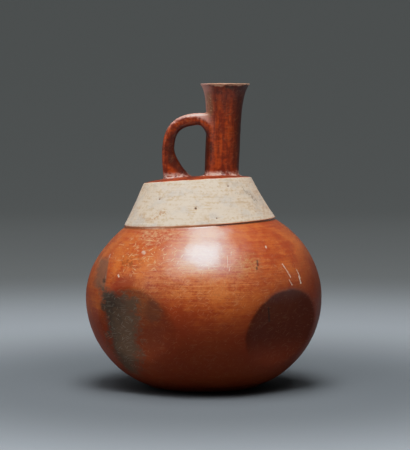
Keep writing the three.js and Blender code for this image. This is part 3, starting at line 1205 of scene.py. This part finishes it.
# Pale rub near the collar at the left, partly wear and partly a painted sheen.
wear_and_sheen = wear_and_sheen.most(rubbed_neck_and_sheen * stroked * 0.6)
wear_and_sheen = wear_and_sheen * (1 - on_collar)
colour = wear_and_sheen.blend(colour, PALE)
print(len(STROKE_SETS), "sets of strokes scattered")

# %% [markdown]
# The scratches that anyone would notice are placed one by one, each along a line between two places
# that the camera sees. The strokes of the four sets show grey on the smoked clay and brown on the
# collar.

# %% Placed scratches
WHITE_SCRATCH = paint("efd9c4")
# Start, end, half the width and strength.
LONG_SCRATCHES = (
    ((57, 89), (63, 79.4), 0.55, 0.8),
    ((62, 77.4), (64.1, 73.8), 0.5, 0.7),
    ((67.4, 84.7), (70, 79), 0.5, 0.7),
    ((69, 80), (70.4, 75.2), 0.8, 0.9),
    ((45, 101.8), (45.2, 101), 0.8, 0.7),
    ((-44, 97.8), (-43, 97), 1.4, 0.55),
    ((-62, 81), (-61.6, 79.8), 0.8, 0.8),
    ((-67.8, 96), (-71, 78.6), 0.5, 0.6),
    ((-60, 109), (-75.5, 91), 0.5, 0.4),
    ((20, 98), (18.5, 84), 0.3, 0.4),
    ((17, 95), (17.5, 86), 0.3, 0.3),
)

for start, end, width, strength in LONG_SCRATCHES:
    line = place.stroke(at(*start), at(*end)) + uneven_fine * 0.8
    line = line.ramp(width * 1.3, width * 0.3) * (grain.ramp(0.35, 0.6) * 0.5 + 0.5)
    colour = (line * strength).blend(colour, WHITE_SCRATCH)
colour = (strokes * smoke * 0.5).blend(colour, GREY_SCRATCH)
hairs = strokes * on_collar * (fine.ramp(0.4, 0.6) * 0.4)
colour = hairs.blend(colour, STAIN)
print(len(LONG_SCRATCHES), "scratches placed")

# %% [markdown]
# The rim is pale, partly rubbed by hands and partly a painted highlight along its lip. A painted
# highlight runs along the top of the handle's back. Chalky clay shows at the two joints on the crown,
# with painted glints on the fillets there, and the spout is worn to an olive brown at the left of its
# mouth. A few dark marks come last.

# %% Rubbed places, painted highlights and dark marks
RIM_PALE_AND_HIGHLIGHT = paint("cf9a7c")
CHALK_AND_GLINT = paint("dcbcae")
ROSY_HIGHLIGHT = paint("dca698")
WORN_OLIVE = paint("7c4e24")
SPOUT_JOINT = (SPOUT_FOOT / MM, (18, 18, 4.5))
HANDLE_JOINT = (Vector((-22, 0, 152)), (14, 12, 5))
WORN_SIDE = (at(4, 199), at(3.5, 211))
# Start, end and half the width.
DARK_MARKS = (
    ((47, 57), (47.6, 47.5), 0.9),
    ((38.8, 91.3), (39.1, 88), 0.8),
    ((38.4, 86.5), (38.5, 85.5), 0.8),
    ((-72.7, 77.2), (-72.4, 75.8), 1.3),
    ((16.5, 217), (20.5, 216.8), 1.2),
)

# Pale rim, partly wear and partly a painted highlight on its lip.
rim_wear_and_highlight = (height + uneven * 7 + uneven_fine * 5).ramp(217.6, 219)
colour = (rim_wear_and_highlight * 0.9).blend(colour, RIM_PALE_AND_HIGHLIGHT)
from_joints = place.away(*SPOUT_JOINT).least(place.away(*HANDLE_JOINT))
joints = (from_joints + uneven * 0.5).ramp(1.15, 0.75)
# Chalky clay at the joints, mixed with painted glints on the fillets.
chalk_and_glints = on_top * joints * (fine * 0.6 + mottle * 0.4).ramp(0.42, 0.58)
colour = (chalk_and_glints * 0.7).blend(colour, CHALK_AND_GLINT)
# Painted highlight along the top of the handle's back.
handle_top_highlight = (from_finger + uneven_fine * 0.4).ramp(1.8, 1.98)
handle_top_highlight = handle_top_highlight * x_place.ramp(8, -2) * height.ramp(172, 188)
colour = (handle_top_highlight * on_top * 0.8).blend(colour, ROSY_HIGHLIGHT)
worn_side = (place.stroke(*WORN_SIDE) * 0.24 + uneven * 1.6).ramp(1.2, 0.3)
colour = (worn_side * 0.5).blend(colour, WORN_OLIVE)
worn_specks = worn_side * (fine * 0.5 + grain * 0.5).ramp(0.53, 0.6)
colour = (worn_specks * 0.6).blend(colour, TAN)
for start, end, width in DARK_MARKS:
    line = place.stroke(at(*start), at(*end)).ramp(width * 1.4, width * 0.4)
    colour = (line * 0.7).blend(colour, DIRT)
feed(slip_material, surface, "Base Color", colour)
print("wear painted")

# %% [markdown]
# ## Sheen
#
# Burnished slip shines softly, the bare collar and the smoked clay are dull. The streaks of the stone
# and the grain of the clay are too fine for the mesh, so they only tilt the light.

# %% Sheen and grain
UNPOLISHED = (at(-56, 80), (26, 30, 18))
RELIEF_DEPTH = 0.6 * MM
RELIEF_STRENGTH = 0.3
SLIP_ROUGHNESS = 0.48
POLISH_ROUGHNESS = 0.29
POLISH_IOR = 1.9
SLIP_IOR = 1.2

roughness = SLIP_ROUGHNESS + on_collar * 0.3 + smoke * 0.1 + wear_and_sheen * 0.2
roughness = roughness + (grain - 0.5) * 0.12 + uneven_streak * 0.14
feed(slip_material, surface, "Roughness", roughness)
relief = streak * (1 - on_top) * 0.5 + upright * on_top * 0.4 + grain * 0.25 + mottle * 0.7 - wear_and_sheen * 0.5
bumps = {"Strength": RELIEF_STRENGTH, "Distance": RELIEF_DEPTH, "Height": relief}
feed(slip_material, surface, "Normal", net.node("Bump", None, bumps))
unpolished = place.away(*UNPOLISHED).ramp(1.2, 0.4)
dull = (smoke * 0.6).most(unpolished * 0.85).most(shaded_right_side.most(left_side) * 0.8)
polish = (1 - on_collar) * (1 - dull) * (fine * 0.4 + 0.7)
polish = polish * height.ramp(62, 92) * (1 - on_top * 0.75)
feed(slip_material, surface, "Coat Weight", polish)
surface.inputs["Coat Roughness"].default_value = POLISH_ROUGHNESS
surface.inputs["Coat IOR"].default_value = POLISH_IOR
surface.inputs["IOR"].default_value = SLIP_IOR
print("sheen set")

# %% [markdown]
# ## Bare clay
#
# Nobody slips the inside of a closed bottle. Its clay is a dull brown, with nothing but soft clouds.

# %% Bare clay
DARK_CLAY = paint("7c4a30")
LIGHT_CLAY = paint("9c6a4a")
DULL_ROUGHNESS = 0.9

net, place, surface = opened(bare_material)
clay_cloud = place.noise((6, 6, 6), 4, 0.6).ramp(0.3, 0.7)
feed(bare_material, surface, "Base Color", clay_cloud.blend(DARK_CLAY, LIGHT_CLAY))
surface.inputs["Roughness"].default_value = DULL_ROUGHNESS
print("bare clay set")

# %% [markdown]
# ## Studio
#
# A round paper floor lies under the bottle and sweeps up far behind it without an edge. It starts as a
# disc whose border is extruded and widened in small steps along a quarter of a circle, and then
# straight up.

# %% Floor
FLOOR_RADIUS = 2.3
FLOOR_SIDES = 128
SWEEP_RADIUS = 0.8
SWEEP_STEPS = 16
WALL_RISE = 2
PAPER_EDGE = math.radians(30)

bpy.ops.object.select_all(action="DESELECT")
bpy.ops.mesh.primitive_circle_add(vertices=FLOOR_SIDES, radius=FLOOR_RADIUS, fill_type="NGON")
floor = bpy.context.object
floor.name = "studio_floor"
bpy.ops.object.mode_set(mode="EDIT")
bpy.ops.mesh.select_all(action="SELECT")
bpy.ops.mesh.select_mode(type="EDGE")
bpy.ops.mesh.region_to_loop()
radius = FLOOR_RADIUS
for step in range(SWEEP_STEPS):
    bend = math.pi / 2 * (step + 1) / SWEEP_STEPS
    before = math.pi / 2 * step / SWEEP_STEPS
    rise = SWEEP_RADIUS * (math.cos(before) - math.cos(bend))
    new_radius = FLOOR_RADIUS + SWEEP_RADIUS * math.sin(bend)
    bpy.ops.mesh.extrude_edges_move(TRANSFORM_OT_translate={"value": (0, 0, rise)})
    bpy.ops.transform.resize(
        value=(new_radius / radius, new_radius / radius, 1),
        center_override=(0, 0, SWEEP_RADIUS * (1 - math.cos(bend))),
    )
    radius = new_radius
bpy.ops.mesh.extrude_edges_move(TRANSFORM_OT_translate={"value": (0, 0, WALL_RISE)})
bpy.ops.object.mode_set(mode="OBJECT")
bpy.ops.object.shade_smooth_by_angle(angle=PAPER_EDGE)
print("floor of", len(floor.data.polygons), "faces")

# %% [markdown]
# The paper's colour paints its light: a painted shadow right under the belly, a painted pool of light
# that is pale around the bottle, and painted falloff that is darker again far away, where a faint glow
# evens out the backdrop. All of it depends on the distance from the bottle alone.

# %% Paper
FLOOR_PAINTED_SHADOW = paint("2b2e31")
FLOOR_NEAR = paint("666b70")
FLOOR_PALE = paint("a6abb1")
FLOOR_FAR = paint("5b5e60")
NO_GLOW = paint("000000")
FAR_GLOW = paint("565959")
HIGH_GLOW = paint("484b4a")
GLOW_STRENGTH = 0.75
# Where one colour starts to give way to the next, and where that ends, in millimetres from the bottle.
SHADOW_TO_NEAR = (35, 70)
NEAR_TO_PALE = (130, 450)
PALE_TO_FAR = (500, 1000)
FAR_TO_HIGH = (1600, 3200)

paper = bpy.data.materials.new("studio paper")
floor.data.materials.append(paper)
net, place, surface = opened(paper)
reach = place.vector("LENGTH", place, result=1)
# Painted shadow under the belly, a pale painted pool of light round it, and painted falloff far away.
shadowed_floor_colour = reach.ramp(*SHADOW_TO_NEAR).blend(FLOOR_PAINTED_SHADOW, FLOOR_NEAR)
near_colour = reach.ramp(*NEAR_TO_PALE).blend(shadowed_floor_colour, FLOOR_PALE)
feed(paper, surface, "Base Color", reach.ramp(*PALE_TO_FAR).blend(near_colour, FLOOR_FAR))
glow = reach.ramp(*FAR_TO_HIGH).blend(FAR_GLOW, HIGH_GLOW)
feed(paper, surface, "Emission Color", reach.ramp(*PALE_TO_FAR).blend(NO_GLOW, glow))
surface.inputs["Emission Strength"].default_value = GLOW_STRENGTH
surface.inputs["Roughness"].default_value = DULL_ROUGHNESS
print("paper coloured")

# %% [markdown]
# A small softbox in front and above and a smaller one overhead give the bright heart of the highlight
# on the shoulder. A wide one around them gives its soft edge and leaves the lower belly in shade. A
# faint one at the left and a faint even light fill the rest.

# %% Light
AIM = Vector((0, 0, 100 * MM))
COOL_WHITE = (0.96, 0.99, 1.0)
STUDIO_AIR = (0.02, 0.021, 0.022, 1)
# Name, degrees round from the front and up, distance, width and height in metres, and power in watts.
SOFTBOXES = (
    ("key_softbox", -3, 66, 1.2, (0.5, 0.56), 9.6),
    ("top_softbox", -4, 96, 1.2, (0.5, 0.4), 3.8),
    ("wide_softbox", -4, 62, 1.3, (1.3, 1.0), 11),
    ("left_fill", -75, 22, 1.5, (0.9, 0.9), 3),
)


def softbox(name, azimuth, elevation, distance, size, power):
    """Sets up a lamp that faces the bottle."""
    around = Matrix.Rotation(math.radians(azimuth), 3, "Z")
    up = Matrix.Rotation(math.radians(-elevation), 3, "X")
    stand = AIM + around @ up @ Vector((0, -distance, 0))
    bpy.ops.object.light_add(type="AREA", location=stand)
    lamp = bpy.context.object
    lamp.name = name
    lamp.rotation_euler = (AIM - stand).to_track_quat("-Z", "Y").to_euler()
    lamp.data.shape = "RECTANGLE"
    lamp.data.size, lamp.data.size_y = size
    lamp.data.energy = power
    lamp.data.color = COOL_WHITE
    lamp.visible_camera = False
    print(name, "at", [round(value, 2) for value in stand])


for settings in SOFTBOXES:
    softbox(*settings)
world = bpy.data.worlds.new("studio air")
bpy.context.scene.world = world
world.use_nodes = True
world.node_tree.nodes["Background"].inputs["Color"].default_value = STUDIO_AIR

# %% [markdown]
# ## Print
#
# The plain transform keeps the clay's colours as painted. A print curve that bends over at the top
# keeps the shine on the shoulder white instead of burning it out to one colour.

# %% Colour of the picture
CURVE_END = (4, 1)
CURVE_BENDS = ((0.3, 0.3), (0.6, 0.57), (0.9, 0.72), (1.5, 0.86))
ALL_COLOURS = 3

print_look = bpy.context.scene.view_settings
print_look.view_transform = "Standard"
print_look.use_curve_mapping = True
mapping = print_look.curve_mapping
mapping.clip_max_x = CURVE_END[0]
curve = mapping.curves[ALL_COLOURS]
curve.points[-1].location = CURVE_END
for light_in, light_out in CURVE_BENDS:
    curve.points.new(light_in, light_out)
mapping.update()
print("print curve of", len(curve.points), "points")
